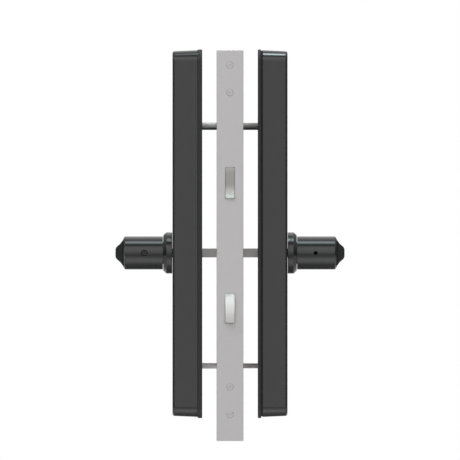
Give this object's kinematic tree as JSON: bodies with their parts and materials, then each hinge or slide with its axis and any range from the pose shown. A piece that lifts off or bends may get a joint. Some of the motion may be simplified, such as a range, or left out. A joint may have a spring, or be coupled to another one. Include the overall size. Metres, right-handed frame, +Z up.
{
  "type": "keypad smart lock",
  "caption": "Keypad smart lock for a hinged door: mortise case with scooped latch and swinging hook bolt, slim housings and lever handles on both sides.",
  "frame": {"origin": "middle of the faceplate's front face", "axes": "+Z up along the faceplate, +Y into the door from its latch edge, +X out of the door on the keypad side"},
  "size_m": [0.2058, 0.193, 0.351],
  "materials": {
    "satin_steel": "satin brushed",
    "bright_steel": "bright plated",
    "black_oxide": "black oxide on steel",
    "zinc_sheet": "zinc plated sheet",
    "brass": "machined",
    "black_coat": "satin powder coat",
    "base_coat": "matt coat",
    "black_lacquer": "semi-gloss lacquer",
    "seal_rubber": "matt",
    "panel_glass": "black glass",
    "board": "solder mask",
    "cable_jacket": "matt",
    "tray_plastic": "moulded",
    "cell_jacket": "printed jacket"
  },
  "bodies": {
    "lock_frame": {"faceplate": "satin_steel", "faceplate_screw_1": "satin_steel", "faceplate_screw_2": "satin_steel", "faceplate_screw_3": "satin_steel", "faceplate_screw_4": "satin_steel", "case_body": "zinc_sheet", "case_cover": "zinc_sheet", "cover_screw_1": "bright_steel", "cover_screw_2": "bright_steel", "cover_screw_3": "bright_steel", "cover_screw_4": "bright_steel", "latch_spring": "bright_steel", "hook_pivot_pin": "bright_steel", "hook_gear_motor": "zinc_sheet", "outer_base_plate": "base_coat", "inner_base_plate": "base_coat", "outer_seal": "seal_rubber", "outer_housing": "black_coat", "inner_housing": "black_coat", "touch_panel": "panel_glass", "keypad_board": "board", "control_board": "board", "link_cable": "cable_jacket", "battery_tray": "tray_plastic", "battery_cell_1": "cell_jacket", "battery_cell_2": "cell_jacket", "battery_cell_3": "cell_jacket", "battery_cell_4": "cell_jacket", "outer_rose": "black_lacquer", "inner_rose": "black_lacquer", "through_bolt_1": "bright_steel", "through_bolt_2": "bright_steel"},
    "inner_lever": {"inner_lever": "black_lacquer", "inner_spindle": "bright_steel", "inner_follower": "zinc_sheet", "lever_set_screw": "black_oxide"},
    "outer_lever": {"outer_lever": "black_lacquer", "outer_spindle": "bright_steel", "outer_follower": "zinc_sheet"},
    "latch": {"latch_bolt": "bright_steel"},
    "hook": {"hook_bolt": "bright_steel"},
    "pinion": {"drive_pinion": "brass"},
    "battery_cover": {"battery_cover": "black_coat"},
    "lock_button": {"lock_button": "black_lacquer"}
  },
  "joints": [
    {"name": "inner_lever_turn", "type": "hinge", "parent": "lock_frame", "child": "inner_lever", "pos_m": [0, 0.06, -0.0066], "axis": [-1, 0, 0], "range_deg": [0, 45], "stiffness_Nm_per_rad": 1, "springref_deg": -34.38},
    {"name": "outer_lever_turn", "type": "hinge", "parent": "lock_frame", "child": "outer_lever", "pos_m": [0, 0.06, -0.0066], "axis": [-1, 0, 0], "range_deg": [0, 45], "stiffness_Nm_per_rad": 1, "springref_deg": -34.38},
    {"name": "latch_slide", "type": "slide", "parent": "lock_frame", "child": "latch", "axis": [0, 1, 0], "range_m": [0, 0.0081], "deforming": ["latch_spring"]},
    {"name": "hook_swing", "type": "hinge", "parent": "lock_frame", "child": "hook", "pos_m": [0, 0.014, -0.066], "axis": [-1, 0, 0], "range_deg": [0, 75]},
    {"name": "pinion_spin", "type": "hinge", "parent": "lock_frame", "child": "pinion", "pos_m": [0, 0.03202, -0.07862], "axis": [-1, 0, 0], "range_deg": [-201, 1]},
    {"name": "battery_cover_release", "type": "slide", "parent": "lock_frame", "child": "battery_cover", "axis": [-1, 0, 0], "range_m": [0, 0.015]},
    {"name": "lock_button_press", "type": "slide", "parent": "lock_frame", "child": "lock_button", "axis": [1, 0, 0], "range_m": [0, 0.0015], "stiffness_N_per_m": 400, "springref_m": -0.002}
  ],
  "couplings": [
    {"joint": "latch_slide", "follows": "inner_lever_turn", "m_per_rad": 0.010186},
    {"joint": "pinion_spin", "follows": "hook_swing", "ratio": -2.6667}
  ]
}
